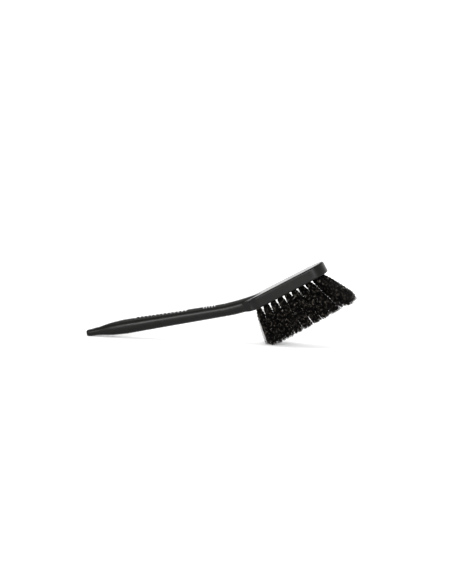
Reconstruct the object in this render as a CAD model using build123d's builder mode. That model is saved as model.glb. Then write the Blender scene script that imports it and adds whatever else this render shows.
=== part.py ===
"""Hive hand brush: a bent moulded handle and block, 36 fanned tufts and their 36 wire anchors.

Millimetres. +Z is up and +X points from the handle to the toe of the block. The brush lies as it does
on a bench, on the heel of its bristles and the end of its handle, with the origin on the bench
at the middle of its footprint.
"""

import os
from math import cos, radians, sin, tan

from build123d import *

# How the brush lies
block_tilt = 30.0  # the block's slope up to the toe, degrees
heel_x = 41.2  # the heel corner of the block's underside
heel_z = 41.45

# Block
block_length = 96.4
block_width = 43.0
block_thickness = 14.0
top_rounding = 2.2
bottom_rounding = 1.8
shoulder_start = 8.0  # where the sides begin to turn in to the neck
shoulder_end = -14.0
shoulder_width = 17.6

# Neck and handle
neck_bend = 18.0  # between the handle and the block, degrees
neck_radius = 205.0
neck_root = (25.9, 6.6)  # the end of its centreline inside the block
neck_rise = 3.9  # of the neck's underside, from the block to the end of the shoulders
neck_trim = 5.0  # depth cut away below the block's underside, where the neck runs into the block
underside_start = -2.0  # where the neck's underside leaves the block's
shaft_length = 162.3
corner_share = 0.465  # corner radius of a section, as a share of its thickness

# Handle sections: distance from the free end, width, thickness. The grip tapers evenly between the
# first two; the rest flatten the end.
shaft_sections = [
    (162.3, 17.4, 15.2),
    (50.0, 19.7, 17.2),
    (43.0, 19.5, 16.8),
    (36.0, 19.1, 15.9),
    (28.0, 18.2, 14.2),
    (20.0, 16.7, 11.3),
    (13.0, 15.6, 9.0),
    (6.0, 15.0, 7.7),
    (0.0, 14.6, 7.8),
]
# Neck sections: share of the bend's length from the block, width, thickness
neck_sections = [(0.0, 26.0, 12.6), (0.25, 22.5, 15.0), (0.5, 19.2, 15.9)]
end_rounding = 2.4

# Details of the handle, placed by their distance from the free end
hang_hole_radius = 3.25
hang_hole_at = 11.0
hang_hole_rounding = 0.7
panel_from = 57.0
panel_to = 125.0
panel_width = 12.5
panel_height = 7.4  # of its middle above the centreline
panel_slope = 1.5  # up towards the free end, degrees
pip_radius = 1.5
pip_height = 0.7
pip_pitch = 4.6
pip_count = 13
rib_pitch = 3.3
rib_from = 142.5
rib_notches = 5
rib_height = 7.7  # of the ribs' tops above the centreline
notch_depth = 1.6
notch_width = 1.9
groove_at = 167.6
groove_width = 0.8
groove_depth = 0.4
groove_reach = 12.0  # radius of the ring that cuts it

# Tufts
row_pitch = 9.4
column_pitch = 9.15
first_column = 3.5
columns = 10
toe_step = 0.45  # how far the outer rows' last tufts stand out to the toe, in columns
bristle_reach = 46.8  # from the block's underside to the trimmed tips, at the bench
trim_slope = 2.2  # the trimmed tips draw nearer to the block towards the toe, degrees
toe_reach = 111.0  # the filament ends are trimmed here too
hole_radius = 2.5
hole_depth = 9.0
tip_radius = 5.4
tuft_waist = 1.4  # how far below its hole a tuft begins to spread
heel_lean = -6.0  # lean of the first column, degrees towards the toe
toe_lean = 27.0  # lean of the last column
lean_growth = 1.2  # above 1, the lean grows faster towards the toe
side_lean = 5.0  # outward lean of the outer rows

# Anchors
anchor_length = 5.8
anchor_thickness = 0.45
anchor_height = 2.2
anchor_depth = 7.0  # from the block's underside to the anchor's middle

from_below = (Align.CENTER, Align.CENTER, Align.MIN)
from_above = (Align.CENTER, Align.CENTER, Align.MAX)

block_plane = Plane(Location((heel_x, 0, heel_z), (0, -block_tilt, 0)))
side_plane = Plane(origin=block_plane.origin, x_dir=block_plane.x_dir, z_dir=(0, -1, 0))


# The centreline of neck and handle, drawn from inside the block to the free end
with BuildLine(side_plane) as centreline:
    neck_line = JernArc(neck_root, (-1, 0), neck_radius, -neck_bend)
    shaft_line = PolarLine(neck_line @ 1, shaft_length, direction=neck_line % 1)

free_end = shaft_line @ 1
shaft_run = -(shaft_line % 1)


def section_plane(point, run):
    """A plane across the handle: local x is across it, local y is up, and z runs to the block."""
    return Plane(origin=point, x_dir=(0, 1, 0), z_dir=run)


def shaft_plane(distance):
    return section_plane(free_end + shaft_run * distance, shaft_run)


def top_plane(distance, height=0.0, slope=0.0):
    """A plane along the handle: local x runs to the block, and z points up from the centreline."""
    across = shaft_plane(distance)
    flat = Plane(origin=across.origin + across.y_dir * height, x_dir=shaft_run, z_dir=across.y_dir)
    return flat.rotated((0, slope, 0))


def tuft_places():
    """Row number, column number and mouth of each tuft hole; z points up its hole."""
    for row in range(4):
        across = (row - 1.5) * row_pitch
        outer = row in (0, 3)
        for column in range(1, columns - 1) if outer else range(columns):
            step = column + (toe_step if outer and column == columns - 2 else 0)
            along = first_column + step * column_pitch
            share = step / (columns - 1)
            lean = heel_lean + (toe_lean - heel_lean) * share**lean_growth
            spread = side_lean * across / (1.5 * row_pitch)
            mouth = block_plane.location * Location((along, across, 0), (spread, -lean, 0))
            yield row + 1, column + (0 if outer else 1), mouth


places = list(tuft_places())
mouths = [mouth for _, _, mouth in places]
anchor_seats = [mouth * Location((0, 0, anchor_depth)) for mouth in mouths]
neck_frames = [
    (section_plane(neck_line @ share, -(neck_line % share)), width, thickness)
    for share, width, thickness in neck_sections
]
shaft_frames = [
    (shaft_plane(distance), width, thickness) for distance, width, thickness in shaft_sections
]

# Handle and block: one moulding
with BuildPart() as handle_and_block:
    # Block, with shoulders that draw in to the neck
    with BuildSketch(block_plane):
        half = block_width / 2
        middle = ((shoulder_start + shoulder_end) / 2, (half + shoulder_width / 2) / 2)
        with BuildLine():
            side = Line((block_length - half, half), (shoulder_start, half))
            convex = TangentArc(side @ 1, middle, tangent=side % 1)
            concave = TangentArc(middle, (shoulder_end, shoulder_width / 2), tangent=convex % 1)
            Line(concave @ 1, (shoulder_end, 0))
            TangentArc(side @ 0, (block_length, 0), tangent=-(side % 0))
            mirror(about=Plane.XZ)
        make_face()
    extrude(amount=block_thickness)
    block_up = Axis(block_plane.origin, block_plane.z_dir)
    fillet(faces().sort_by(block_up)[-1].edges(), top_rounding)
    # The neck's underside curves up behind the heel
    with BuildSketch(side_plane):
        with BuildLine():
            under_neck = TangentArc((underside_start, 0), (shoulder_end, neck_rise), tangent=(-1, 0))
            Polyline(under_neck @ 1, (shoulder_end, 0), under_neck @ 0)
        make_face()
    extrude(amount=block_width, both=True, mode=Mode.SUBTRACT)
    downward = faces().filter_by(lambda face: face.normal_at().dot(block_plane.z_dir) < -0.7)
    fillet(downward.edges().filter_by(Axis.Y, reverse=True), bottom_rounding)
    # Neck, evenly tapered grip and flattened end, from the block out to the free end
    for frames in (neck_frames + shaft_frames[:1], shaft_frames[:2], shaft_frames[1:]):
        for plane, width, thickness in frames:
            with BuildSketch(plane):
                RectangleRounded(width, thickness, thickness * corner_share)
        loft()
    fillet(faces().sort_by(Axis(free_end, shaft_run))[0].edges(), end_rounding)
    # Nothing of the neck stands below the block's underside
    with BuildSketch(block_plane.offset(-neck_trim)):
        with Locations((block_length / 2 + underside_start, 0)):
            Rectangle(block_length, block_width)
    extrude(amount=neck_trim, mode=Mode.SUBTRACT)
    # Hanging hole through the flattened end
    with Locations(top_plane(hang_hole_at)):
        Hole(hang_hole_radius)
    wall = faces().filter_by(GeomType.CYLINDER).sort_by(Axis(free_end, shaft_run))[0]
    fillet(wall.edges().filter_by(GeomType.LINE, reverse=True), hang_hole_rounding)
    # Flat panel on top of the grip, with a row of small raised pips
    panel = top_plane((panel_from + panel_to) / 2, panel_height, panel_slope)
    with BuildSketch(panel):
        SlotOverall(panel_to - panel_from, panel_width)
    extrude(amount=panel_width, mode=Mode.SUBTRACT)
    with Locations(panel):
        with GridLocations(pip_pitch, 1, pip_count, 1):
            Cylinder(pip_radius, pip_height, align=from_below)
    # Thumb ribs: notches across the top
    for count in range(rib_notches):
        notch = top_plane(rib_from + count * rib_pitch, rib_height)
        with BuildSketch(Plane(origin=notch.origin, x_dir=notch.x_dir, z_dir=(0, -1, 0))):
            Trapezoid(notch_width, notch_depth, 105, align=(Align.CENTER, Align.MAX))
        extrude(amount=12, both=True, mode=Mode.SUBTRACT)
    # Fine groove round the neck, left by a joint in the mould
    with BuildSketch(shaft_plane(groove_at)):
        Circle(groove_reach)
        groove_floor = [size - 2 * groove_depth for size in shaft_sections[0][1:]]
        RectangleRounded(*groove_floor, groove_floor[1] * corner_share, mode=Mode.SUBTRACT)
    extrude(amount=groove_width, mode=Mode.SUBTRACT)
    # Tuft holes, and the slits that the anchors' ends cut
    with Locations(*mouths):
        Cylinder(hole_radius, 2 * hole_depth, mode=Mode.SUBTRACT)
    with Locations(*anchor_seats):
        Box(anchor_thickness, anchor_length, anchor_height, mode=Mode.SUBTRACT)

handle_and_block.part.label = "handle_and_block"
os.makedirs("parts", exist_ok=True)
export_step(handle_and_block.part, "parts/handle_and_block.step")

# Anchors: flat pieces of steel wire, one across the fold of each tuft
with BuildPart() as anchors:
    with Locations(*anchor_seats):
        Box(anchor_thickness, anchor_length, anchor_height)

anchors.part.label = "anchors"
export_step(anchors.part, "parts/anchors.step")

# The space that the trimmed tufts fill: above the bench and inside the trimmed outline
trim_start = (bristle_reach * cos(radians(block_tilt)) - heel_z) / sin(radians(block_tilt))
trim_back = trim_start - bristle_reach
trim_rise = (toe_reach - trim_start) * tan(radians(trim_slope))
trim_outline = [
    (trim_start, -bristle_reach),
    (toe_reach, trim_rise - bristle_reach),
    (toe_reach, block_thickness),
    (trim_back, block_thickness),
    (trim_back, bristle_reach * tan(radians(block_tilt)) - bristle_reach),
]

# Tufts: a plug in its hole, which holds the anchor, and filaments that spread to their trimmed ends
spread_length = bristle_reach / cos(radians(toe_lean)) + tip_radius
for row, number, mouth in places:
    with BuildPart(mouth) as tuft:
        with Locations((0, 0, -tuft_waist)):
            Cylinder(hole_radius, hole_depth + tuft_waist, align=from_below)
            Cone(tip_radius, hole_radius, spread_length, align=from_above)
        with Locations((0, 0, anchor_depth)):
            Box(anchor_thickness, anchor_length, anchor_height, mode=Mode.SUBTRACT)
        with BuildSketch(side_plane):
            Polygon(*trim_outline, align=None)
        extrude(amount=block_width, both=True, mode=Mode.INTERSECT)
    tuft.part.label = f"tuft_row{row}_{number:02d}"
    export_step(tuft.part, f"parts/{tuft.part.label}.step")
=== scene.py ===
from math import cos, pi, radians, sin, tau

import bpy
import numpy as np
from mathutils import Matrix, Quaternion, Vector


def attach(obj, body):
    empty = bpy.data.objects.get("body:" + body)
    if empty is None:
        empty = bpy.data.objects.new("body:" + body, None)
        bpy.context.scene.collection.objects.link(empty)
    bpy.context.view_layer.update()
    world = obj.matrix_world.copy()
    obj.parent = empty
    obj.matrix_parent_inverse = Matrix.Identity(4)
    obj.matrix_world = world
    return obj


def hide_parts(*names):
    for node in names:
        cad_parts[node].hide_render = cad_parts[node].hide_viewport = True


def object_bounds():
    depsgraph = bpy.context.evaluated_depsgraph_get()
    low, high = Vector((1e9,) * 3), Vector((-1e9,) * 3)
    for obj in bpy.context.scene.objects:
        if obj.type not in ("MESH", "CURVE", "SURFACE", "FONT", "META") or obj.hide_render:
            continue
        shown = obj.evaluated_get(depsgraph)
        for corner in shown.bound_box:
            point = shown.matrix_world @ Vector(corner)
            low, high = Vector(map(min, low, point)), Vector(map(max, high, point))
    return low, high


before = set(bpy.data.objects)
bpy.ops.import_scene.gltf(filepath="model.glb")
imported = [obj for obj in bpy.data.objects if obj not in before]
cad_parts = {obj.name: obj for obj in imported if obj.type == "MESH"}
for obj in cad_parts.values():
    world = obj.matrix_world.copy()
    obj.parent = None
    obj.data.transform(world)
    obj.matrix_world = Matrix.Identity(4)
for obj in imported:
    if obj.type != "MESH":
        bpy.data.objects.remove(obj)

brush_low, brush_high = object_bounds()
brush_middle = (brush_low + brush_high) / 2

# Camera. The brush is seen from its side, from just above the bench, with the toe of the block
# turned a little towards the lens. The camera leans slightly to one side.
camera_distance = 1.0
camera_turn = radians(-1.18)
camera_dip = radians(4.55)
camera_lean = radians(2.43)
aim_offset = Vector((0.0053, 0, 0.0090))
aim = brush_middle + aim_offset
level_share = cos(camera_dip)
look = Vector((sin(camera_turn) * level_share, cos(camera_turn) * level_share, -sin(camera_dip)))

camera = bpy.data.objects.new("camera", bpy.data.cameras.new("camera"))
bpy.context.scene.collection.objects.link(camera)
camera.data.lens = 52.0
camera.data.sensor_width = 36.0
camera.data.clip_start = 0.05
camera.location = aim - look * camera_distance
camera.rotation_mode = "QUATERNION"
camera.rotation_quaternion = look.to_track_quat("-Z", "Y") @ Quaternion((0, 0, 1), camera_lean)
bpy.context.scene.camera = camera
bpy.context.scene.view_settings.view_transform = "Standard"


# Handle and block. One injection moulding in black polypropylene: a bent handle with a flat panel
# of raised pips and thumb ribs, and a block with 36 blind holes. The mould's skin is satin, and
# hands and hive tools have rubbed it smoother in places.
rubbed_black = (0.0030, 0.0030, 0.0028, 1)
satin_black = (0.0052, 0.0051, 0.0048, 1)
rubbed_roughness = 0.24
satin_roughness = 0.31
scuff_roughness = 0.05  # what a scuff adds
moulding_gloss = 0.12
skin_grains = 2600  # this and the next two count features per metre
rubbed_patches = 45
scuff_marks = 900
handle_slope = (0, radians(12), 0)
drawn_out_along_handle = (0.05, 1, 1)
skin_depth = 0.00005


def shader_nodes(name):
    """A new material, its node adder, its linker and its main shader."""
    finish = bpy.data.materials.new(name)
    finish.use_nodes = True
    nodes, links = finish.node_tree.nodes, finish.node_tree.links
    return finish, nodes, links, nodes["Principled BSDF"]


def grain(nodes, links, spot, scale, detail, stretch=None):
    """A noise over the piece's own coordinates; stretch holds a rotation and a scale."""
    noise = nodes.new("ShaderNodeTexNoise")
    noise.inputs["Scale"].default_value = scale
    noise.inputs["Detail"].default_value = detail
    if stretch:
        turned = nodes.new("ShaderNodeMapping")
        turned.inputs["Rotation"].default_value = stretch[0]
        turned.inputs["Scale"].default_value = stretch[1]
        links.new(spot, turned.inputs["Vector"])
        spot = turned.outputs["Vector"]
    links.new(spot, noise.inputs["Vector"])
    return noise.outputs["Fac"]


def spread_over(nodes, links, value, low, high, start=0.3, end=0.7):
    """Maps start to end onto low to high; a noise's middle range is the usual start and end."""
    mapped = nodes.new("ShaderNodeMapRange")
    mapped.inputs["From Min"].default_value = start
    mapped.inputs["From Max"].default_value = end
    mapped.inputs["To Min"].default_value = low
    mapped.inputs["To Max"].default_value = high
    links.new(value, mapped.inputs["Value"])
    return mapped.outputs["Result"]


def two_tones(nodes, links, factor, first, second):
    """A colour that goes from the first to the second as the factor rises."""
    tone = nodes.new("ShaderNodeMix")
    tone.data_type = "RGBA"
    tone.inputs["A"].default_value = first
    tone.inputs["B"].default_value = second
    links.new(factor, tone.inputs["Factor"])
    return tone.outputs["Result"]


def moulded_polypropylene():
    finish, nodes, links, shader = shader_nodes("black polypropylene")
    spot = nodes.new("ShaderNodeTexCoord").outputs["Object"]
    skin = grain(nodes, links, spot, skin_grains, 3)
    rubbed = grain(nodes, links, spot, rubbed_patches, 4)
    scuffs = grain(nodes, links, spot, scuff_marks, 2, (handle_slope, drawn_out_along_handle))

    tone = two_tones(nodes, links, rubbed, rubbed_black, satin_black)
    links.new(tone, shader.inputs["Base Color"])

    patches = spread_over(nodes, links, rubbed, rubbed_roughness, satin_roughness)
    marks = spread_over(nodes, links, scuffs, 0, scuff_roughness, start=0.55, end=0.8)
    roughness = nodes.new("ShaderNodeMath")
    roughness.operation = "ADD"
    links.new(patches, roughness.inputs[0])
    links.new(marks, roughness.inputs[1])
    links.new(roughness.outputs["Value"], shader.inputs["Roughness"])
    shader.inputs["Specular IOR Level"].default_value = moulding_gloss

    relief = nodes.new("ShaderNodeBump")
    relief.inputs["Strength"].default_value = 0.1
    relief.inputs["Distance"].default_value = skin_depth
    links.new(skin, relief.inputs["Height"])
    links.new(relief.outputs["Normal"], shader.inputs["Normal"])
    return finish


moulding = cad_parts["handle_and_block"]
moulding.data.materials.clear()
moulding.data.materials.append(moulded_polypropylene())


# Anchors. Flat pieces of galvanised steel wire, cut from a coil and driven across the fold of each
# tuft into the bottom of its hole. They are out of sight in the finished brush.
wire_grey = (0.55, 0.55, 0.53, 1)
wire_roughness = (0.3, 0.5)
wire_grains = 3000  # features per metre
drawn_out_along_wire = (1, 0.05, 1)


def anchor_wire():
    finish, nodes, links, shader = shader_nodes("galvanised wire")
    spot = nodes.new("ShaderNodeTexCoord").outputs["Object"]
    drawn = grain(nodes, links, spot, wire_grains, 2, ((0, 0, 0), drawn_out_along_wire))
    shader.inputs["Base Color"].default_value = wire_grey
    shader.inputs["Metallic"].default_value = 1
    links.new(spread_over(nodes, links, drawn, *wire_roughness), shader.inputs["Roughness"])
    return finish


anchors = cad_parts["anchors"]
anchors.data.materials.clear()
anchors.data.materials.append(anchor_wire())


# Tufts. Stiff black polyester filament, crimped so that the strands stand apart, folded in half
# round an anchor in the hole. The tufts fan out, and the whole brush is trimmed once it is filled.
block_tilt = radians(30)
along_block = Vector((cos(block_tilt), 0, sin(block_tilt)))
up_from_block = Vector((-sin(block_tilt), 0, cos(block_tilt)))
trim_tilt = radians(31.5)
up_from_trim = Vector((-sin(trim_tilt), 0, cos(trim_tilt)))
plug_depth = 0.009
plug_end_flatness = 0.00005
hole_radius = 0.0025
hole_fill = 0.93  # share of a hole's radius that the strands take up
strand_count = 58
strand_radius = 0.00026
strand_sides = 3
strand_start = -0.0015  # share of a strand's length, just inside its hole
usual_length = 0.047
longest = 0.052
crimp_length = 0.0038
crimp_depth = 0.00045
crimp_onset = 0.003  # the crimp reaches its full depth this far out
steps_per_crimp = 5
puff = 0.9  # how much wider a tuft is soon after it leaves its hole
puff_length = 0.006
flare = 0.5  # how much wider it grows from there to its ends
stray_slope = 0.028  # these six are how far single strands differ from the rest
bow_depth = 0.0006
crimp_turn = 0.3
crimp_shift = 0.3
crimp_stretch = 0.012
trim_scatter = 0.00088
bench_gap = 0.0005
least_toe_way = 0.001  # strands that lean away from the toe never meet its cut
first_seed = 4100
bristle_black = (0.0005, 0.0004, 0.0004, 1)
# painted highlight: a brown-grey that stands in for light caught on the crimps
painted_crimp_highlight = (0.1050, 0.0930, 0.0790, 1)
painted_highlight_spots = 340  # features per metre
dull_roughness = 0.5
sheen_roughness = 0.35
bristle_gloss = 0.04


def tuft_axis(node):
    """The mouth of a tuft's hole and the way its strands leave it, from its plug's flat end."""
    solid = node.data
    top = max(solid.polygons, key=lambda face: face.center.dot(up_from_block))
    end = [face for face in solid.polygons
           if (face.center - top.center).dot(top.normal) > -plug_end_flatness]
    rim = {corner for face in end for corner in face.vertices}
    points = np.array([solid.vertices[corner].co for corner in rim])
    centre = Vector((points.min(0) + points.max(0)) / 2)
    return centre - top.normal * plug_depth, -top.normal


def node_reach(nodes, direction):
    """How far the nodes reach along a direction."""
    return max(corner.co.dot(direction) for node in nodes for corner in node.data.vertices)


def tuft_strands(draw, mouth, out, trim, toe):
    """Centrelines of one tuft's strands, as an array of strand, step and coordinate."""
    side = np.array(out.orthogonal().normalized())
    out_way = np.array(out)
    across = np.cross(out_way, side)
    start = np.array(mouth)

    radius = hole_fill * hole_radius * np.sqrt(draw.random(strand_count))
    angle = tau * draw.random(strand_count)
    root = radius[:, None] * np.stack([np.cos(angle), np.sin(angle)], 1)
    stray = draw.normal(0, stray_slope, (strand_count, 2))
    bow = draw.normal(0, bow_depth, (strand_count, 2))

    # Length of each strand: to the trimmed plane, to the toe's cut or to the bench
    sideways = root * (puff + flare) / usual_length + stray
    tip_way = out_way + sideways @ np.stack([side, across])
    foot = start + root @ np.stack([side, across])
    to_trim = (foot @ np.array(up_from_trim) - trim) / -(tip_way @ np.array(up_from_trim))
    toe_way = np.maximum(tip_way @ np.array(along_block), least_toe_way)
    to_toe = (toe - foot @ np.array(along_block)) / toe_way
    to_bench = (foot[:, 2] - bench_gap) / -tip_way[:, 2]
    length = np.minimum(to_trim, to_toe)
    length += draw.uniform(-trim_scatter, trim_scatter, strand_count)
    length = np.minimum(length, to_bench)

    steps = int(round(longest / crimp_length * steps_per_crimp))
    far = np.linspace(strand_start, 1, steps + 1)[None, :] * length[:, None]
    share = far / length[:, None]
    wide = 1 + puff * (1 - np.exp(-np.maximum(far, 0) / puff_length)) + flare * share
    drift = root[:, None, :] * wide[..., None]
    drift += stray[:, None, :] * np.maximum(far, 0)[..., None]
    drift += bow[:, None, :] * np.sin(pi * share)[..., None]

    plane = draw.uniform(0, tau) + draw.normal(0, crimp_turn, strand_count)
    phase = draw.uniform(0, tau) + draw.normal(0, crimp_shift, strand_count)
    pitch = crimp_length * draw.normal(1, crimp_stretch, strand_count)
    wave = np.sin(tau * far / pitch[:, None] + phase[:, None])
    wave *= crimp_depth * np.clip(far / crimp_onset, 0, 1)
    drift += wave[..., None] * np.stack([np.cos(plane), np.sin(plane)], 1)[:, None, :]
    return start + far[..., None] * out_way + drift @ np.stack([side, across]), side, across


def strand_mesh(name, lines, side, across):
    """Closed tubes of a few sides round the centrelines, all in one mesh."""
    turns = tau * np.arange(strand_sides) / strand_sides
    ring = strand_radius * (np.cos(turns)[:, None] * side + np.sin(turns)[:, None] * across)
    points = (lines[:, :, None, :] + ring).reshape(-1, 3)
    count, rings = lines.shape[:2]
    first = np.arange(count)[:, None, None] * rings * strand_sides
    level = np.arange(rings - 1)[None, :, None] * strand_sides
    corner = np.arange(strand_sides)[None, None, :]
    following = (corner + 1) % strand_sides
    low, high = first + level, first + level + strand_sides
    walls = np.stack([low + corner, low + following, high + following, high + corner], -1)
    root_ends = first[:, 0] + corner[0, :, ::-1]
    tip_ends = first[:, 0] + (rings - 1) * strand_sides + corner[0]
    faces = walls.reshape(-1, 4).tolist() + root_ends.tolist() + tip_ends.tolist()
    mesh = bpy.data.meshes.new(name)
    mesh.from_pydata(points.tolist(), [], faces)
    smooth = np.ones(len(faces), bool)
    smooth[-2 * count:] = False
    mesh.polygons.foreach_set("use_smooth", smooth)
    mesh.update()
    return mesh


def crimped_polyester():
    finish, nodes, links, shader = shader_nodes("crimped black polyester")
    spot = nodes.new("ShaderNodeTexCoord").outputs["Object"]
    # Spots of painted highlight: noise lifts the strands' black to a brown-grey, standing in for
    # the sheen of crimps catching the lamp
    highlight_noise = grain(nodes, links, spot, painted_highlight_spots, 3)
    highlight_share = spread_over(nodes, links, highlight_noise, 0, 1, start=0.56, end=0.72)
    tone = two_tones(nodes, links, highlight_share, bristle_black, painted_crimp_highlight)
    links.new(tone, shader.inputs["Base Color"])
    roughness = spread_over(nodes, links, highlight_noise, dull_roughness, sheen_roughness)
    links.new(roughness, shader.inputs["Roughness"])
    shader.inputs["Specular IOR Level"].default_value = bristle_gloss
    return finish


bristle = crimped_polyester()
tuft_nodes = [node for name, node in sorted(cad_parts.items()) if name.startswith("tuft_")]
trim_plane = -node_reach(tuft_nodes, -up_from_trim)
toe_cut = node_reach(tuft_nodes, along_block)

for number, node in enumerate(tuft_nodes):
    draw = np.random.default_rng(first_seed + number)
    mouth, out = tuft_axis(node)
    lines, side, across = tuft_strands(draw, mouth, out, trim_plane, toe_cut)
    tubes = strand_mesh(node.name, lines, side, across)
    strands = bpy.data.objects.new(f"{node.name}_strands", tubes)
    bpy.context.scene.collection.objects.link(strands)
    strands.data.materials.append(bristle)
    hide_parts(node.name)
    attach(strands, "root")


# Bench and light. A pale bench that fades into a white backdrop, one long soft lamp in front of
# the brush and a dim ceiling over it.
bench_radius = 3.0
bench_white = (0.9, 0.9, 0.91, 1)
fade_start, fade_end = 0.5, 2.4  # metres from the middle of the bench
ceiling_grey = (0.42, 0.42, 0.385, 1)
backdrop_white = (2.2, 2.2, 2.2, 1)
front_share = 0.36  # how much of the backdrop's white is left on the camera's side

bpy.ops.mesh.primitive_circle_add(
    vertices=96, radius=bench_radius, fill_type="NGON", location=(0, 0, 0))
bench = bpy.context.object
bench.name = "bench"

bench_finish, nodes, links, shader = shader_nodes("pale bench")
shader.inputs["Base Color"].default_value = bench_white
shader.inputs["Roughness"].default_value = 0.9
shader.inputs["Specular IOR Level"].default_value = 0.1
distance = nodes.new("ShaderNodeVectorMath")
distance.operation = "LENGTH"
links.new(nodes.new("ShaderNodeTexCoord").outputs["Object"], distance.inputs[0])
fade = spread_over(nodes, links, distance.outputs["Value"], 1, 0, fade_start, fade_end)
links.new(fade, shader.inputs["Alpha"])
bench.data.materials.append(bench_finish)

world = bpy.data.worlds.new("studio")
bpy.context.scene.world = world
world.use_nodes = True
nodes, links = world.node_tree.nodes, world.node_tree.links
way = nodes.new("ShaderNodeSeparateXYZ")
links.new(nodes.new("ShaderNodeTexCoord").outputs["Generated"], way.inputs["Vector"])
low_down = spread_over(nodes, links, way.outputs["Z"], 1, 0, start=0.3, end=0.75)
behind = spread_over(nodes, links, way.outputs["Y"], front_share, 1, start=-0.3, end=0.5)
backdrop = nodes.new("ShaderNodeMath")
backdrop.operation = "MULTIPLY"
links.new(low_down, backdrop.inputs[0])
links.new(behind, backdrop.inputs[1])
sky = two_tones(nodes, links, backdrop.outputs["Value"], ceiling_grey, backdrop_white)
links.new(sky, nodes["Background"].inputs["Color"])


def soft_lamp(name, place, width, height, power):
    lamp = bpy.data.objects.new(name, bpy.data.lights.new(name, "AREA"))
    bpy.context.scene.collection.objects.link(lamp)
    lamp.data.shape = "RECTANGLE"
    lamp.data.size = width
    lamp.data.size_y = height
    lamp.data.energy = power
    lamp.location = place
    lamp.rotation_mode = "QUATERNION"
    lamp.rotation_quaternion = (brush_middle - Vector(place)).to_track_quat("-Z", "Y")
    lamp.visible_camera = False


soft_lamp("front_lamp", (0.05, -1.55, 0.58), width=1.7, height=0.5, power=44)
soft_lamp("top_lamp", (0.0, 0.3, 2.2), width=2.4, height=1.6, power=26)
